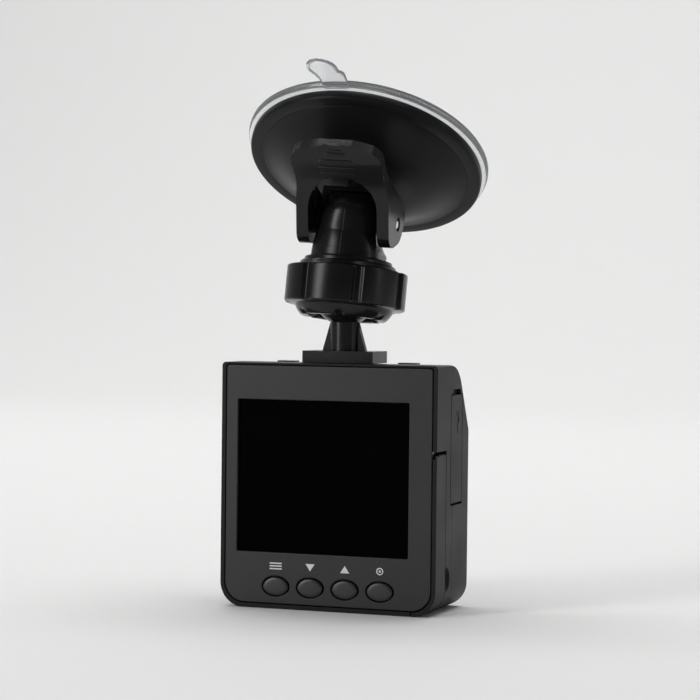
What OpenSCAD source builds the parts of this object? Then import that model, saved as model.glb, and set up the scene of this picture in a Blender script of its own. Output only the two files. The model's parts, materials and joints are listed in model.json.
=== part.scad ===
// Dash camera with a 2.4 inch screen on a suction mount with a ball joint.
// +Z is up, the screen faces -Y and the lens faces +Y.
// The origin is the middle of the flat underside that the camera stands on.

/* [Camera body] */
// Width of the camera body
body_w = 59.6; // [56:0.2:66]
// Height of the camera body
body_h = 64.2; // [62:0.2:68]
// Depth of the camera body without the lens ring
body_d = 26.4; // [25:0.2:30]
// Radius of the two lower corners
corner_r = 6.5; // [4:0.5:9]
// Thickness of the side walls
wall = 2.4; // [2:0.1:3]
// Depth at which the front and rear housings meet
split_d = 12.8; // [12.6:0.1:15]
// Depth of the flat part of the top
top_flat_d = 11.5; // [10:0.5:13]
// Radius that rounds the top into the sloping back
top_round_r = 9.5; // [7:0.5:10]
// Height at which the sloping back becomes upright
slope_z = 46.9; // [44:0.1:50]

/* [Screen and keys] */
// Width of the screen opening
window_w = 47.4; // [44:0.2:50]
// Height of the screen opening
window_h = 39.9; // [38:0.1:42]
// Sideways offset of the screen opening
window_x = -1.5; // [-3:0.1:0]
// Height of the lower edge of the screen opening
window_z = 14.7; // [13:0.1:16]
// Distance between neighbouring front keys
key_pitch = 9.6; // [9:0.1:11]
// Height of the middle of the front keys
key_z = 5.9; // [5:0.1:7]
// Sideways place of the first front key
key_x = -14.1; // [-16:0.1:-12]
// Length of a front key
key_l = 7; // [6:0.1:8]
// Height of a front key
key_h = 4.7; // [4:0.1:5.5]

/* [Lens] */
// Height of the middle of the lens
lens_z = 29.5; // [26:0.5:32]
// Outer radius of the lens ring
lens_ring_r = 10.5; // [9:0.5:12]
// How far the lens ring stands out
lens_out = 4; // [2:0.5:6]

/* [Ball joint] */
// Radius of the ball
ball_r = 8.5; // [8:0.5:9]
// Height of the middle of the ball
ball_z = 82.5; // [81:0.5:86]
// Depth of the middle of the ball
ball_d = 12; // [11:0.5:14]
// Radius of the stem under the ball
stem_r = 3.85; // [3.5:0.05:4.2]
// Width of the foot that slides on the rail
foot_w = 19.6; // [19:0.2:24]
// Depth of the foot
foot_l = 11.2; // [10.6:0.2:12]
// Outer radius of the locking nut
nut_r = 15.9; // [15.5:0.1:17]
// Height of the grip of the nut
nut_h = 9.7; // [9:0.1:10.5]

/* [Suction mount] */
// Distance from the ball to the hinge pin
pin_h = 19; // [18.5:0.5:22]
// Lean of the neck about X, Y and Z
neck_lean = [-6.4, 3.2, 4.6];
// Tilt of the cup from the neck
cup_tilt = 25.3; // [20:0.1:40]
// Tilt of the lever from the neck
lever_tilt = 21; // [15:1:25]
// Distance from the hinge pin to the rim of the cup
rim_h = 19.8; // [18.5:0.1:22]
// Radius of the cup shell
cup_r = 31.3; // [30:0.1:34]
// Radius of the soft pad
pad_r = 32.6; // [31.6:0.1:36]
// Half width of the lever over its two arms
lever_hw = 12.5; // [12:0.1:13]
// Length of the lever from the pin, along its arms
lever_l = 23.6; // [22:0.1:25]

/* [Hidden] */
$fn = 64;

// Gap between pieces that move on each other
gap = 0.3;
// Thickness and margins of the inset front panel
panel_t = 2;
panel_w = body_w - 2.7;
panel_z = 1.4;
panel_h = body_h - 2.1;
panel_gap = 0.25;
top_r = 1;
// Screws, screen stack and boards, by depth from the front face
screw_places = [[-25, 5.6], [25, 5.6], [-12, 43.5], [12, 43.5]];
screw_r = 1.2;
boss_r = 3;
// Depth at which the upper screw bosses begin, behind the card socket
boss_top_d = 14;
board_d = 10.8;
board_t = 1;
battery_z = 10.6;
battery_h = 29.6;
// Openings in the right side
door_d = 7.6;
door_top = 41.1;
door_skin = 1.1;
door_hinge = [29, 40.8];
port_d = [11.6, 20.7];
port_z = [28, 56.4];
port_hinge = [29, 28.8];
side_x = body_w / 2;
// Top keys
top_key_x = 17;
top_key_d = 14.6;
top_key_size = [5, 3.2];
// Rail and foot
rail_z = body_h;
foot_z = rail_z + 0.05;
foot_top = 67.4;
led_r = 1.5;
led_circle = 15.5;
led_angles = [-30, 0, 30, 150, 180, 210];
// Round end of the neck on the pin, and the fork of the post around it
tongue_r = 7;
fork_z = 7.4;
fork_t = 1.4;
// How far the shell moves on the post between locked and free
stroke = 2;
shell_top = fork_z + fork_t + stroke + 0.4;

function depth(d) = d - body_d / 2;
// Side outline of the housing, drawn in by e except at its open front
function side_outline(e) = concat(
    [[depth(0), e], [depth(body_d - e), e], [depth(body_d - e), slope_z - 0.3 * e]],
    [for (a = [60:-6:0]) [
        depth(top_flat_d) + (top_round_r - e) * sin(a),
        body_h - top_round_r + (top_round_r - e) * cos(a)]],
    [[depth(0), body_h - e]]
);

// Rounded outline with its lower edge on y = 0
module outline(w, h, lower_r, upper_r) {
    translate([-w / 2 + lower_r, 0]) square([w - 2 * lower_r, h - upper_r]);
    translate([-w / 2, lower_r]) square([w, h - lower_r - upper_r]);
    translate([-w / 2 + upper_r, lower_r]) square([w - 2 * upper_r, h - lower_r]);
    for (s = [-1, 1]) {
        translate([s * (w / 2 - lower_r), lower_r]) circle(lower_r);
        translate([s * (w / 2 - upper_r), h - upper_r]) circle(upper_r);
    }
}
// Oval with straight sides, centred
module oval(l, h) {
    square([l - h, h], center = true);
    for (s = [-1, 1]) translate([s * (l - h) / 2, 0]) circle(h / 2);
}
// Extrudes a front-view shape from depth d1 to depth d2
module slab(d1, d2) {
    translate([0, depth(d2), 0]) rotate([90, 0, 0]) linear_extrude(d2 - d1) children();
}
// Block between two corners, with y given as depth
module block(x1, x2, d1, d2, z1, z2) {
    translate([x1, depth(d1), z1]) cube([x2 - x1, d2 - d1, z2 - z1]);
}
// Cylinder along Y at [x, z] from depth d1 to depth d2
module rod(p, r, d1, d2) {
    translate([p[0], depth(d2), p[1]]) rotate([90, 0, 0]) cylinder(h = d2 - d1, r = r);
}
// Whole outside of the housing, drawn in by e
module housing_block(e, d1, d2) {
    intersection() {
        slab(d1, d2) translate([0, e]) outline(body_w - 2 * e, body_h - 2 * e,
            corner_r - e * 0.8, top_r);
        translate([-body_w, 0, 0]) rotate([90, 0, 90]) linear_extrude(2 * body_w)
            polygon(side_outline(e));
    }
}
module battery_door_cut(clear) {
    intersection() {
        block(23, side_x + 1, -1, door_d + clear, -1, door_top + 4 * clear);
        difference() {
            slab(-1, door_d + clear) outline(body_w + 2, body_h, corner_r, top_r);
            slab(-2, door_d + 1) translate([0, door_skin + clear])
                outline(body_w - 2 * (door_skin + clear), body_h, corner_r - door_skin, top_r);
        }
    }
}

module front_panel() {
    color("#2b2b2d") difference() {
        slab(0, panel_t) translate([0, panel_z]) outline(panel_w, panel_h, corner_r - 1.2, 0.8);
        slab(-1, panel_t + 1) translate([window_x - window_w / 2, window_z]) square([window_w, window_h]);
        for (i = [0:3]) slab(-1, panel_t + 1) translate([key_x + i * key_pitch, key_z])
            oval(key_l + 2 * gap, key_h + 2 * gap);
    }
}
module display_window() {
    color("#050506") block(window_x - window_w / 2 + 0.1, window_x + window_w / 2 - 0.1,
        0.9, 1.7, window_z + 0.1, window_z + window_h - 0.1);
}
module display_module() {
    color("#9aa0a6") block(window_x - 25.4, window_x + 25.4, 2.1, 3.7, 12.6, 57);
}
module display_bracket() {
    color("silver") difference() {
        block(window_x - 25.4, window_x + 25.4, 3.75, 4.05, 12.6, 57);
        block(window_x - 21, window_x - 12, 3, 5, 44, 53);
    }
}
module front_housing() {
    color("#262628") difference() {
        union() {
            difference() {
                housing_block(0, 0, split_d);
                housing_block(wall, panel_t, split_d + 1);
                slab(-1, panel_t) translate([0, panel_z - panel_gap])
                    outline(panel_w + 2 * panel_gap, panel_h + 2 * panel_gap, corner_r - 1, 0.8);
            }
            for (p = screw_places) if (p[1] < 20) rod(p, boss_r, 9.5, split_d);
        }
        for (p = screw_places) rod(p, screw_r + 0.02, 9, split_d + 1);
        battery_door_cut(gap);
        // Bay mouth behind the battery door
        block(26, side_x + 1, 3.9, door_d, battery_z - 0.6, battery_z + battery_h);
        // Room for the hinge of the battery door
        rod(door_hinge, 1.3, panel_t, door_d + gap);
        port_cuts();
        // Fingernail scoop behind the battery door
        translate([side_x + 2, depth(door_d + 0.6), 9]) sphere(3.8);
        for (s = [-1, 1]) translate([s * top_key_x, depth(top_key_d), body_h - 5])
            linear_extrude(8) square([top_key_size[0] + 2 * gap, top_key_size[1] + 2 * gap], center = true);
    }
}
// Recess and mouth of the ports, cut from both housings
module port_cuts() {
    block(side_x - 1.3, side_x + 1, port_d[0] - gap, port_d[1] + gap, port_z[0] - gap, port_z[1] + gap);
    block(side_x - 4, side_x + 1, port_d[0] + 0.4, port_d[1] - 1, port_z[0] + 2.6, port_z[1] - 1);
    block(side_x - 1, side_x + 1, port_d[0] + 1, port_d[1] - 1.5, port_z[1], port_z[1] + 1.5);
    rod(port_hinge, 1.1, port_d[0] - gap, port_d[1] + gap);
}
module rear_housing() {
    color("#252527") difference() {
        union() {
            difference() {
                housing_block(0, split_d + 0.05, body_d);
                housing_block(wall, split_d - 1, body_d - 1.6);
            }
            for (p = screw_places)
                rod(p, boss_r, (p[1] < 20 ? split_d : boss_top_d) + 0.05, body_d - 1);
        }
        for (p = screw_places) {
            rod(p, screw_r + 0.02, split_d - 1, body_d + 1);
            rod(p, 2.3, body_d - 2.9, body_d + 1);
        }
        rod([0, lens_z], 7.2, body_d - 4, body_d + 1);
        for (a = led_angles) rod([led_circle * cos(a), lens_z + led_circle * sin(a)], led_r + 0.05,
            body_d - 4, body_d + 1);
        // Sound holes of the speaker, and the microphone hole
        for (a = [0:60:300]) rod([-16 + 3.6 * cos(a), 14 + 3.6 * sin(a)], 0.7, body_d - 3, body_d + 1);
        rod([-16, 14], 0.7, body_d - 3, body_d + 1);
        rod([17, 14], 0.6, body_d - 3, body_d + 1);
        port_cuts();
        for (s = [-1, 1]) translate([s * top_key_x, depth(top_key_d), body_h - 5])
            linear_extrude(8) square([top_key_size[0] + 2 * gap, top_key_size[1] + 2 * gap], center = true);
    }
}
module battery_door() {
    color("#2a2a2c") difference() {
        union() {
            intersection() {
                block(23.3, side_x + 1, 0, door_d, -1, door_top);
                difference() {
                    slab(0, door_d) outline(body_w, body_h, corner_r, top_r);
                    slab(-2, door_d + 1) translate([0, door_skin])
                        outline(body_w - 2 * door_skin, body_h, corner_r - door_skin, top_r);
                }
            }
            rod(door_hinge, 0.8, panel_t + 0.3, door_d);
        }
        rod(door_hinge, 0.4, -1, door_d + 1);
    }
}
module battery_door_pin() {
    color("silver") rod(door_hinge, 0.35, panel_t + 0.1, door_d + 0.25);
}
module port_door() {
    color("#2a2a2c") difference() {
        union() {
            block(side_x - 1, side_x, port_d[0], port_d[1], port_z[0], port_z[1]);
            rod(port_hinge, 0.8, port_d[0], port_d[1]);
            // Snap rib that holds the door shut
            block(side_x - 2.2, side_x - 1, port_d[0] + 2, port_d[1] - 2, port_z[1] - 2.6, port_z[1] - 1.6);
        }
        rod(port_hinge, 0.45, port_d[0] - 1, port_d[1] + 1);
        // Round-off that lets the door turn past the sill
        difference() {
            block(side_x - 0.9, side_x + 1, port_d[0] - 1, port_d[1] + 1, port_z[0] - 1, port_hinge[1]);
            rod(port_hinge, 0.8, port_d[0] - 2, port_d[1] + 2);
        }
    }
}
module port_door_pin() {
    color("silver") rod(port_hinge, 0.4, port_d[0] - 0.25, port_d[1] + 0.25);
}
module main_board() {
    color("#1f6b3a") difference() {
        block(-21.5, 21.5, board_d, board_d + board_t, 3, 60.5);
        for (p = screw_places) rod(p, boss_r + 0.3, board_d - 1, board_d + 2);
    }
}
module battery() {
    color("#3e6fa8") block(-23, 23.5, 4.3, 7.5, battery_z, battery_z + battery_h - 0.8);
}
module battery_contacts() {
    color("gold") for (i = [0:2]) block(-25.5, -23.1, 4.8, 10.7, 14 + 5 * i, 16 + 5 * i);
}
module usb_socket() {
    color("silver") difference() {
        block(19, 26.6, board_d + board_t, board_d + board_t + 4, 44, 52);
        block(20.5, 27, board_d + board_t + 0.5, board_d + board_t + 3.5, 44.5, 51.5);
        block(18, 27.5, board_d, board_d + board_t, 43, 53);
    }
    color("#111111") block(20.5, 25.6, board_d + board_t + 1.5, board_d + board_t + 2.5, 45.5, 50.5);
}
module card_socket() {
    color("silver") difference() {
        block(12.5, 26.6, board_d + board_t, board_d + board_t + 2, 30.9, 42.5);
        block(13, 27, board_d + board_t + 0.4, board_d + board_t + 1.6, 31.3, 42.1);
    }
}
module memory_card() {
    color("#1b1b1f") block(13.1, 27.9, board_d + board_t + 0.45, board_d + board_t + 1.45, 31.35, 42.05);
}
module key_board() {
    color("#1f6b3a") block(-19, 19.5, 5.2, 6, 3.2, 9.8);
}
module key_switches() {
    for (i = [0:3]) translate([key_x + i * key_pitch, 0, key_z]) {
        color("silver") block(-2.2, 2.2, 3.8, 5.2, -2.2, 2.2);
    }
}
// One front key: the oval head, a flange behind the panel and the foot on the switch
module front_key(i) {
    color("#2e2e30") translate([key_x + i * key_pitch, 0, key_z]) {
        slab(-0.35, panel_t + 0.1) oval(key_l, key_h);
        slab(panel_t + 0.1, panel_t + 0.6) oval(key_l + 1.4, key_h + 1.4);
        rod([0, 0], 1, panel_t + 0.6, 3.25);
    }
}
module menu_button() { front_key(0); }
module down_button() { front_key(1); }
module up_button() { front_key(2); }
module mode_button() { front_key(3); }
module top_key(s) {
    color("#1c1c1e") translate([s * top_key_x, depth(top_key_d), 0]) {
        translate([0, 0, 60.6]) linear_extrude(body_h + 0.3 - 60.6) square(top_key_size, center = true);
        translate([0, 0, 59.9]) cylinder(h = 0.8, r = 1);
    }
}
module power_button() { top_key(-1); }
module record_button() { top_key(1); }
module top_switches() {
    color("silver") for (s = [-1, 1])
        block(s * top_key_x - 2.5, s * top_key_x + 2.5, board_d + board_t, 16.5, 56.6, 59.3);
}
module mount_rail() {
    color("#202022") {
        block(-3.2, 3.2, ball_d - 4.6, ball_d + 5, rail_z, rail_z + 1.2);
        block(-5.4, 5.4, ball_d - 4.6, ball_d + 5, rail_z + 1.2, rail_z + 2.2);
    }
}
module sensor_board() {
    color("#1f6b3a") block(-9, 9, 14.6, 15.6, lens_z - 9, lens_z + 9);
}
module lens_holder() {
    color("#161616") difference() {
        block(-7, 7, 15.6, 21, lens_z - 7, lens_z + 7);
        rod([0, lens_z], 5.04, 17, 22);
    }
}
module lens_barrel() {
    color("#1a1a1a") difference() {
        rod([0, lens_z], 5, 17, body_d + 1.6);
        rod([0, lens_z], 3.2, body_d - 2, body_d + 3);
    }
    color("#223044") rod([0, lens_z], 3.2, body_d - 2.2, body_d - 0.4);
}
module lens_ring() {
    color("#3a3a3d") difference() {
        union() {
            rod([0, lens_z], lens_ring_r, body_d, body_d + lens_out);
            rod([0, lens_z], 7.15, body_d - 2, body_d + 1);
        }
        rod([0, lens_z], 6, body_d - 3, body_d + lens_out + 1);
        rod([0, lens_z], 8, body_d + lens_out - 1.2, body_d + lens_out + 1);
    }
}
module lens_cover() {
    color("#0c1118") rod([0, lens_z], 7.95, body_d + lens_out - 1.2, body_d + lens_out - 0.3);
}
module ir_leds() {
    color("#6d5f86") for (a = led_angles)
        rod([led_circle * cos(a), lens_z + led_circle * sin(a)], led_r, body_d - 4, body_d - 0.2);
}
module speaker() {
    color("#7a7a7a") rod([-16, 14], 6.5, body_d - wall - 3.5, body_d - wall - 0.05);
}
module microphone() {
    color("silver") rod([17, 14], 2.2, body_d - wall - 1.6, body_d - wall - 0.05);
}
module housing_screws() {
    color("#8a8a8a") for (p = screw_places) {
        rod(p, screw_r, p[1] < 20 ? 10 : boss_top_d, body_d - 2.9);
        rod(p, 2.1, body_d - 2.9, body_d - 1.4);
    }
}

// Places its children on the ball, along the neck
module on_neck() {
    translate([0, depth(ball_d), ball_z]) rotate(neck_lean) children();
}
// Places its children on the hinge pin, with +Z into the cup
module on_cup() {
    on_neck() translate([0, 0, pin_h]) rotate([-cup_tilt, 0, 0]) children();
}
// Places its children on the hinge pin, with +Z along the lever
module on_lever() {
    on_neck() translate([0, 0, pin_h]) rotate([lever_tilt, 0, 0]) children();
}
module cross_rod(r, l) {
    rotate([0, 90, 0]) cylinder(h = l, r = r, center = true);
}
module ball_stud() {
    color("#1d1d1f") translate([0, depth(ball_d), 0]) {
        difference() {
            translate([-foot_w / 2, -foot_l / 2, foot_z]) cube([foot_w, foot_l, foot_top - foot_z]);
            // Channel that runs over the rail, closed at the front
            translate([-3.2 - gap, -foot_l / 2 + 0.7, foot_z - 1]) cube([6.4 + 2 * gap, foot_l, 3]);
            translate([-5.4 - gap, -foot_l / 2 + 0.7, rail_z + 1]) cube([10.8 + 2 * gap, foot_l, 1.4]);
        }
        translate([0, 0, foot_top - 0.1]) cylinder(h = ball_z - foot_top, r = stem_r);
        translate([0, 0, ball_z]) sphere(ball_r);
        for (a = [0, 180]) rotate(a) translate([0, 0.8, foot_top]) rotate([90, 0, 0])
            linear_extrude(1.6) polygon([[0, 0], [6, 0], [stem_r, 7.4], [0, 7.4]]);
    }
}
module ball_seat() {
    color("#e6e2d6") on_neck() difference() {
        translate([0, 0, 0.6]) cylinder(h = 8, r = 9.3);
        sphere(ball_r + 0.05);
    }
}
module neck() {
    color("#232325") on_neck() difference() {
        union() {
            translate([0, 0, -0.6]) cylinder(h = 9.4, r = 11.6);
            // Round column that narrows towards the pin, with flats for the fork
            intersection() {
                rotate_extrude() polygon([
                    [0, 8], [10.7, 8], [10.5, 11], [9.7, 15.5], [9.3, pin_h], [8.8, pin_h + 2.2],
                    [7.8, pin_h + 4.3], [6.2, pin_h + 6], [3.8, pin_h + 6.9], [0, pin_h + 7.1]]);
                union() {
                    translate([-7, -12, 12.5]) cube([14, 24, pin_h - 12.5]);
                    translate([-12, -12, 7]) cube([24, 24, 2]);
                    translate([0, 0, pin_h]) cross_rod(tongue_r, 14);
                    // Full-width front
                    translate([-9.1, -12, 8.9]) cube([18.2, 7.4, 20]);
                    // Curved run-out of the flats
                    difference() {
                        translate([-9, -12, 8.9]) cube([18, 24, 3.7]);
                        for (s = [-1, 1]) translate([s * 11, 0, 12.6]) rotate([90, 0, 0])
                            cylinder(h = 30, r = 4, center = true);
                    }
                }
            }
        }
        translate([0, 0, -1]) cylinder(h = 9.65, r = 9.35);
        translate([0, 0, pin_h]) cross_rod(1.55, 40);
    }
}
module clamp_ring() {
    color("#2c2c2e") on_neck() difference() {
        translate([0, 0, -4.4]) cylinder(h = 3.6, r = 11);
        sphere(ball_r + 0.05);
        // Slit that lets the ring close on the ball
        translate([-0.6, 0, -6]) cube([1.2, 12, 8]);
    }
}
module locking_nut() {
    color("#212123") on_neck() difference() {
        union() {
            translate([0, 0, -3.6]) cylinder(h = nut_h, r = nut_r);
            translate([0, 0, -3.7 + nut_h]) cylinder(h = 1.6, r = 12.6);
            translate([0, 0, -6.6]) rotate_extrude() polygon([[7, 0], [11.2, 0], [13, 3.1], [7, 3.1]]);
        }
        translate([0, 0, -4.5]) cylinder(h = 14, r = 11.75);
        translate([0, 0, -8]) cylinder(h = 6, r = 9.2);
        for (i = [0:6]) rotate(-70.6 + 360 / 7 * i) translate([nut_r + 0.4, 0, -5]) cylinder(h = 12, r = 1.3);
        // Arched reliefs in the lip
        for (i = [0:5]) rotate(-80 + 60 * i) translate([9, 0, -7.2]) rotate([0, 90, 0])
            cylinder(h = 4, r = 1.4);
    }
}
// Fork and post that pull the middle of the pad
module pull_post() {
    color("#2a2a2c") on_cup() difference() {
        union() {
            for (s = [-1, 1]) translate([s * 8.15, 0, 0]) {
                cross_rod(3.6, 1.6);
                translate([-0.8, -3.6, 0]) cube([1.6, 7.2, fork_z + fork_t]);
            }
            translate([-8.95, -3.6, fork_z]) cube([17.9, 7.2, fork_t]);
            translate([0, 0, fork_z + 1]) cylinder(h = 16.5 - fork_z - 1, r = 3.4);
        }
        cross_rod(1.55, 30);
    }
}
module pivot_pin() {
    color("silver") on_cup() cross_rod(1.5, 2 * lever_hw - 1);
}
// Side outline of the lever: z runs along its arms, x runs towards the cup.
// The thumb plate curves away from the cup.
lever_side = [
    [-9.4, -1.5], [-8.6, -3.4], [-6.8, -4.7], [-4.5, -5.2], [0, -5.2], [3.2, -3.9],
    [5.6, -1.6], [7.1, 0.8], [6.6, 3], [4.5, 5.2], [-1.4, 9.6], [-8.7, 15.6],
    [-10.6, 18], [-13.2, lever_l - 2.3], [-14.9, lever_l + 1.3], [-16.9, lever_l],
    [-15.6, lever_l - 4], [-13.7, 16.8], [-11.6, 13.7], [-10.1, 10.8], [-9.4, 8]
];
// Half width of the thumb plate where it is narrowest
lever_waist = lever_hw - 0.6;
module lever() {
    color("#242426") on_lever() difference() {
        rotate([90, 0, 90]) translate([0, 0, -lever_hw]) linear_extrude(2 * lever_hw) polygon(lever_side);
        // Waist of the thumb plate
        for (s = [-1, 1]) translate([s * (lever_waist + 20), 0, 15]) rotate([90, 0, 0])
            cylinder(h = 60, r = 20, center = true);
        // Curved end of the thumb plate
        translate([0, -16, lever_l - 0.8]) rotate([40, 0, 0]) difference() {
            translate([-20, -12, -6]) cube([40, 24, 30]);
            translate([0, 0, -23.3]) rotate([90, 0, 0]) cylinder(h = 60, r = 25.2, center = true);
        }
        // Room between the arms, open in front up to the arch
        translate([-9.3, 0, 0]) rotate([90, 0, 90]) linear_extrude(18.6) polygon([
            [-7.2, -8], [-7.2, 8.6], [-8.4, 12], [-11.3, 16.2], [-9.6, 18.5], [12, 18.5], [12, -8]]);
        translate([-9.3, -12, -8]) cube([18.6, 8, 13.1]);
        translate([0, -20, 5.1]) rotate([-90, 0, 0]) cylinder(h = 16, r = 9.3);
        cross_rod(1.55, 40);
    }
}
module cup_shell() {
    dome = rim_h - shell_top;
    color("#1f1f21") on_cup() translate([0, 0, rim_h]) rotate_extrude() polygon([
        [4, -dome], [14, -dome], [18.5, -dome * 0.86], [22.5, -dome * 0.62], [26, -3.4],
        [28, -2.6], [cup_r, -2.6], [cup_r, 0], [28.6, 0], [25, -1], [18, -dome * 0.6],
        [14, 1.8 - dome], [4, 1.8 - dome]
    ]);
}
module suction_pad() {
    color([0.85, 0.87, 0.9, 0.5]) on_cup() difference() {
        union() {
            translate([0, 0, rim_h + 0.3]) rotate_extrude() polygon([
                [0, -0.9], [8, -1], [20, -0.4], [26, 0], [pad_r, 0], [pad_r, 2], [26, 2], [0, 1.6]
            ]);
            translate([0, 0, 14.5]) cylinder(h = 5.2, r = 5.6);
            // Pull tab at the edge
            translate([0, 0, rim_h + 0.3]) rotate(257.5) translate([pad_r - 2, -4.2, 0])
                cube([12, 9.6, 1.8]);
        }
        // Socket that grips the post
        translate([0, 0, 14]) cylinder(h = 4.9, r = 3.45);
    }
}

front_panel();
display_window();
display_module();
display_bracket();
front_housing();
rear_housing();
battery_door();
battery_door_pin();
port_door();
port_door_pin();
main_board();
battery();
battery_contacts();
usb_socket();
card_socket();
memory_card();
key_board();
key_switches();
menu_button();
down_button();
up_button();
mode_button();
power_button();
record_button();
top_switches();
mount_rail();
sensor_board();
lens_holder();
lens_barrel();
lens_ring();
lens_cover();
ir_leds();
speaker();
microphone();
housing_screws();
ball_stud();
ball_seat();
neck();
clamp_ring();
locking_nut();
pull_post();
pivot_pin();
lever();
cup_shell();
suction_pad();
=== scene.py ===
"""Looks of a dash camera on a suction mount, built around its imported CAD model."""
import json
from math import cos, pi, radians, sin, sqrt

import bmesh
import bpy
from mathutils import Matrix, Vector


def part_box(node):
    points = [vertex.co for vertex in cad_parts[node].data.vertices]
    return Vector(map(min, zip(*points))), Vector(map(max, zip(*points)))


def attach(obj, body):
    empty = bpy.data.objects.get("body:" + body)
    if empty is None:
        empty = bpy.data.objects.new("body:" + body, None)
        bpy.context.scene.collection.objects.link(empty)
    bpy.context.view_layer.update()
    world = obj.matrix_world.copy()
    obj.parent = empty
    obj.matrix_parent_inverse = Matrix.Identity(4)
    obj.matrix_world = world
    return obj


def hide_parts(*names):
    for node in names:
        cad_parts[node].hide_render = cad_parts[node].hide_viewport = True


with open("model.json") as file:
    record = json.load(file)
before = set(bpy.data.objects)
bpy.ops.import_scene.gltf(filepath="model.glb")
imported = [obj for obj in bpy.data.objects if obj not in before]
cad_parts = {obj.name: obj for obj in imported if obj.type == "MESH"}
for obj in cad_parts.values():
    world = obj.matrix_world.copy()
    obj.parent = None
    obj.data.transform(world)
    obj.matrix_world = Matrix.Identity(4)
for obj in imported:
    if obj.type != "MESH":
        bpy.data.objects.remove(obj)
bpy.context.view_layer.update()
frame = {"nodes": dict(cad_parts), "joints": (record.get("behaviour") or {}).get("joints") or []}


# ---------------------------------------------------------------- studio
# A pale seamless sweep of painted board that curves up behind the object,
# under soft boxes. It isn't part of the object.

sweep_front = -3.0
sweep_depth = 1.1
sweep_radius = 0.6
sweep_width = 6.0
sweep_top = 3.5


def link(piece):
    """Puts a new object into the scene."""
    bpy.context.scene.collection.objects.link(piece)
    return piece


def mesh_piece(name, points, faces, smooth=35):
    """Mesh from points and faces, smooth except at edges sharper than the angle."""
    mesh = bpy.data.meshes.new(name)
    mesh.from_pydata([tuple(p) for p in points], [], faces)
    mesh.validate()
    solid = bmesh.new()
    solid.from_mesh(mesh)
    bmesh.ops.recalc_face_normals(solid, faces=solid.faces)
    solid.to_mesh(mesh)
    solid.free()
    round_shading(mesh, smooth)
    return link(bpy.data.objects.new(name, mesh))


def round_shading(mesh, angle):
    """Smooth shading with crisp edges where faces meet at more than the angle."""
    mesh.polygons.foreach_set("use_smooth", [True] * len(mesh.polygons))
    mesh.set_sharp_from_angle(angle=radians(angle))


def sweep_board():
    """Floor that curves up into a wall behind the object."""
    steps = 24
    side = [(sweep_front, 0.0), (sweep_depth, 0.0)]
    for i in range(1, steps + 1):
        turn = i / steps * pi / 2
        side.append((sweep_depth + sweep_radius * sin(turn), sweep_radius * (1 - cos(turn))))
    side.append((sweep_depth + sweep_radius, sweep_top))
    points = [(x, y, z) for y, z in side for x in (-sweep_width / 2, sweep_width / 2)]
    faces = [(2 * i, 2 * i + 1, 2 * i + 3, 2 * i + 2) for i in range(len(side) - 1)]
    return mesh_piece("sweep", points, faces, smooth=60)


def bare_material(name):
    """New material with its node tree and its surface."""
    material = bpy.data.materials.new(name)
    material.use_nodes = True
    return material, material.node_tree, material.node_tree.nodes["Principled BSDF"]


def add_node(tree, kind, values):
    """New node with some of its inputs set."""
    node = tree.nodes.new(kind)
    for name, value in values.items():
        node.inputs[name].default_value = value
    return node


def relief(tree, surface, height, strength, depth):
    """Raises the surface a little by a texture."""
    bump = add_node(tree, "ShaderNodeBump", {"Strength": strength, "Distance": depth})
    tree.links.new(height, bump.inputs["Height"])
    tree.links.new(bump.outputs["Normal"], surface.inputs["Normal"])


def painted_board():
    """Matt white board with a very faint roll texture."""
    material, tree, surface = bare_material("painted_board")
    surface.inputs["Base Color"].default_value = (0.80, 0.80, 0.795, 1)
    surface.inputs["Roughness"].default_value = 0.75
    surface.inputs["Specular IOR Level"].default_value = 0.2
    grain = add_node(tree, "ShaderNodeTexNoise", {"Scale": 900})
    relief(tree, surface, grain.outputs["Fac"], 0.05, 0.0002)
    return material


sweep = sweep_board()
sweep.data.materials.append(painted_board())


def soft_box(name, place, target, width, height, power):
    """Rectangular area light aimed at a point."""
    lamp = bpy.data.lights.new(name, "AREA")
    lamp.shape = "RECTANGLE"
    lamp.size = width
    lamp.size_y = height
    lamp.energy = power
    holder = link(bpy.data.objects.new(name, lamp))
    holder.location = place
    aim = Vector(target) - Vector(place)
    holder.rotation_euler = aim.to_track_quat("-Z", "Y").to_euler()
    return holder


object_middle = (0, 0, 0.08)
wall_spot = (-0.75, 1.7, 0.85)
soft_box("overhead", (0.0, 0.2, 1.5), object_middle, 1.6, 1.2, 11.5)
soft_box("left_key", (-0.76, -1.08, 0.5), object_middle, 0.35, 1.1, 8.5)
soft_box("right_strip", (1.35, -0.12, 0.45), object_middle, 0.25, 0.9, 0.8)
soft_box("wall_wash", (-0.6, 0.55, 1.95), wall_spot, 2.8, 0.6, 28)


def studio_air():
    """Dim room light, dark in front of the object, with a pale surround for the eye."""
    world = bpy.data.worlds.new("studio")
    world.use_nodes = True
    nodes, links = world.node_tree.nodes, world.node_tree.links
    where = nodes.new("ShaderNodeTexCoord")
    parts = nodes.new("ShaderNodeSeparateXYZ")
    links.new(where.outputs["Generated"], parts.inputs["Vector"])
    reach = add_node(world.node_tree, "ShaderNodeMapRange",
                     {"From Min": -0.5, "From Max": 0.6, "To Min": 0.05, "To Max": 0.45})
    links.new(parts.outputs["Y"], reach.inputs["Value"])
    seen = nodes.new("ShaderNodeLightPath")
    choose = nodes.new("ShaderNodeMix")
    choose.inputs["B"].default_value = 0.72
    links.new(seen.outputs["Is Camera Ray"], choose.inputs["Factor"])
    links.new(reach.outputs["Result"], choose.inputs["A"])
    links.new(choose.outputs["Result"], nodes["Background"].inputs["Strength"])
    nodes["Background"].inputs["Color"].default_value = (0.98, 0.99, 1.0, 1)
    return world


bpy.context.scene.world = studio_air()
bpy.context.scene.view_settings.view_transform = "Standard"


# ---------------------------------------------------------------- viewpoint
# A long lens, almost level with the case, a little to the right of the
# screen and rolled very slightly.

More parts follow.
